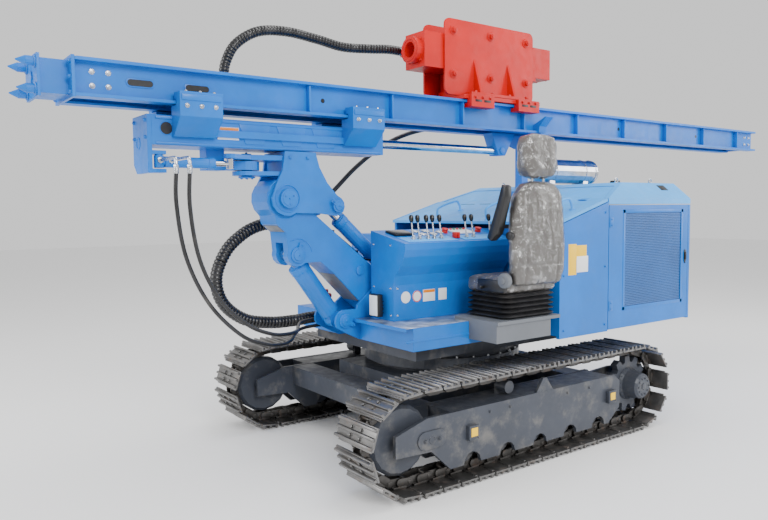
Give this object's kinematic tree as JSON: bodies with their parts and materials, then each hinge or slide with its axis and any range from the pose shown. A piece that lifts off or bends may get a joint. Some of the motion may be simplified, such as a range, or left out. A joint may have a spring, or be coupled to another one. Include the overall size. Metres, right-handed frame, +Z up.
{
  "type": "pile driver rig",
  "caption": "Crawler pile driving rig with a slewing platform, a boom, a tilting channel mast, a sliding hammer and an outboard operator's seat.",
  "frame": {"origin": "on the ground, on the machine's centre line, below the middle of the stowed mast", "axes": "+X forwards to the mast's foot, +Y to the operator's side, +Z up"},
  "size_m": [6.88, 2, 2.91],
  "materials": {
    "blue": "gloss sky-blue paint",
    "pale_blue": "pale blue paint",
    "red": "orange-red paint",
    "dark_grey": "dark grey paint",
    "track_steel": "bare worn steel",
    "chrome": "polished",
    "aluminium": "satin",
    "black": "black rubber",
    "seat_vinyl": "grey-brown vinyl under clear film",
    "light_grey": "grey paint"
  },
  "bodies": {
    "undercarriage": {"center_frame": "dark_grey", "slew_ring": "dark_grey", "track_frame_left": "dark_grey", "track_frame_right": "dark_grey", "bottom_rollers_left": "dark_grey", "bottom_rollers_right": "dark_grey", "idler_left": "dark_grey", "idler_right": "dark_grey", "sprocket_left": "dark_grey", "sprocket_right": "dark_grey", "track_left": "track_steel", "track_right": "track_steel"},
    "upper": {"turret_base": "dark_grey", "deck": "blue", "boom_bracket": "blue", "console": "blue", "control_levers": "black", "work_lamp": "chrome", "seat_bracket": "light_grey", "seat_bellows": "black", "seat_cushion": "seat_vinyl", "seat_back": "seat_vinyl", "side_panel_left": "blue", "side_panel_right": "blue", "rear_panel": "blue", "roof": "pale_blue", "hydraulic_tank": "blue", "engine_block": "dark_grey", "muffler": "aluminium", "mast_rest": "blue", "hose_swing_a": "black", "hose_swing_b": "black"},
    "boom": {"boom": "blue", "hose_loop": "black"},
    "lift_barrel": {"lift_cylinder_barrel": "blue"},
    "lift_rod": {"lift_cylinder_rod": "chrome"},
    "tilt_barrel": {"tilt_cylinder_barrel": "blue"},
    "tilt_rod": {"tilt_cylinder_rod": "chrome"},
    "leveller": {"head_pin": "track_steel"},
    "head": {"head_bracket": "blue"},
    "carrier": {"slide_frame": "blue", "carrier_end_plate": "blue", "guide_clamps_left": "blue", "guide_clamps_right": "blue", "feed_barrel": "blue"},
    "swing_barrel": {"swing_cylinder_barrel": "blue"},
    "swing_rod": {"swing_cylinder_rod": "chrome"},
    "mast": {"mast_beam": "blue", "mast_foot": "blue", "feed_rod": "chrome", "hose_mast": "black"},
    "hammer": {"hammer_base": "red", "hammer_body": "red", "hammer_plate_left": "red", "hammer_plate_right": "red", "hose_hammer": "black"},
    "door_left": {"engine_door_left": "blue"},
    "door_right": {"engine_door_right": "blue"},
    "lid": {"hood_lid": "pale_blue"}
  },
  "joints": [
    {"name": "slew", "type": "hinge", "parent": "undercarriage", "child": "upper", "pos_m": [0.68, 0, 0.6], "axis": [0, 0, 1], "continuous": true},
    {"name": "boom_luff", "type": "hinge", "parent": "upper", "child": "boom", "pos_m": [1.2, 0, 0.93], "axis": [0, 1, 0], "range_deg": [-35, 0]},
    {"name": "lift_barrel_pivot", "type": "hinge", "parent": "upper", "child": "lift_barrel", "pos_m": [1.602, 0, 0.874], "axis": [0, 1, 0], "range_deg": [-38.4, 0]},
    {"name": "lift_rod_slide", "type": "slide", "parent": "lift_barrel", "child": "lift_rod", "axis": [0.5902, 0, 0.8073], "range_m": [0, 0.2413]},
    {"name": "tilt_barrel_pivot", "type": "hinge", "parent": "upper", "child": "tilt_barrel", "pos_m": [0.856, 0, 0.883], "axis": [0, 1, 0], "range_deg": [-35, 0]},
    {"name": "tilt_rod_slide", "type": "slide", "parent": "tilt_barrel", "child": "tilt_rod", "axis": [0.7414, 0, 0.671], "range_m": [0, 0.51]},
    {"name": "head_level", "type": "hinge", "parent": "boom", "child": "leveller", "pos_m": [2, 0, 1.654], "axis": [0, 1, 0], "range_deg": [0, 35]},
    {"name": "mast_tilt", "type": "hinge", "parent": "leveller", "child": "head", "pos_m": [2, 0, 1.654], "axis": [0, 1, 0], "range_deg": [0, 95]},
    {"name": "mast_swing", "type": "hinge", "parent": "head", "child": "carrier", "pos_m": [2.2, 0, 1.85], "axis": [0, 0, 1], "range_deg": [-8, 8]},
    {"name": "swing_barrel_pivot", "type": "hinge", "parent": "carrier", "child": "swing_barrel", "pos_m": [2.76, 0.1, 1.85], "axis": [0, 0, 1], "range_deg": [-3, 3]},
    {"name": "swing_rod_slide", "type": "slide", "parent": "swing_barrel", "child": "swing_rod", "axis": [-1, 0, 0], "range_m": [-0.0145, 0.0145]},
    {"name": "mast_slide", "type": "slide", "parent": "carrier", "child": "mast", "axis": [1, 0, 0], "range_m": [0, 1]},
    {"name": "hammer_slide", "type": "slide", "parent": "mast", "child": "hammer", "axis": [1, 0, 0], "range_m": [-2.95, 2.1]},
    {"name": "engine_door_left_hinge", "type": "hinge", "parent": "upper", "child": "door_left", "pos_m": [-0.08, 0.886, 1.2], "axis": [0, 0, 1], "range_deg": [-100, 0]},
    {"name": "engine_door_right_hinge", "type": "hinge", "parent": "upper", "child": "door_right", "pos_m": [-0.08, -0.886, 1.2], "axis": [0, 0, 1], "range_deg": [0, 100]},
    {"name": "hood_lid_hinge", "type": "hinge", "parent": "upper", "child": "lid", "pos_m": [-0.068, 0, 1.646], "axis": [0, 1, 0], "range_deg": [-45, 0]}
  ],
  "couplings": [
    {"joint": "lift_barrel_pivot", "follows": "boom_luff", "ratio": 1.095},
    {"joint": "lift_rod_slide", "follows": "boom_luff", "m_per_rad": -0.3949},
    {"joint": "tilt_barrel_pivot", "follows": "boom_luff", "ratio": 1},
    {"joint": "head_level", "follows": "boom_luff", "ratio": -1},
    {"joint": "tilt_rod_slide", "follows": "mast_tilt", "m_per_rad": 0.3067},
    {"joint": "swing_barrel_pivot", "follows": "mast_swing", "ratio": 0.366},
    {"joint": "swing_rod_slide", "follows": "mast_swing", "m_per_rad": -0.1}
  ]
}
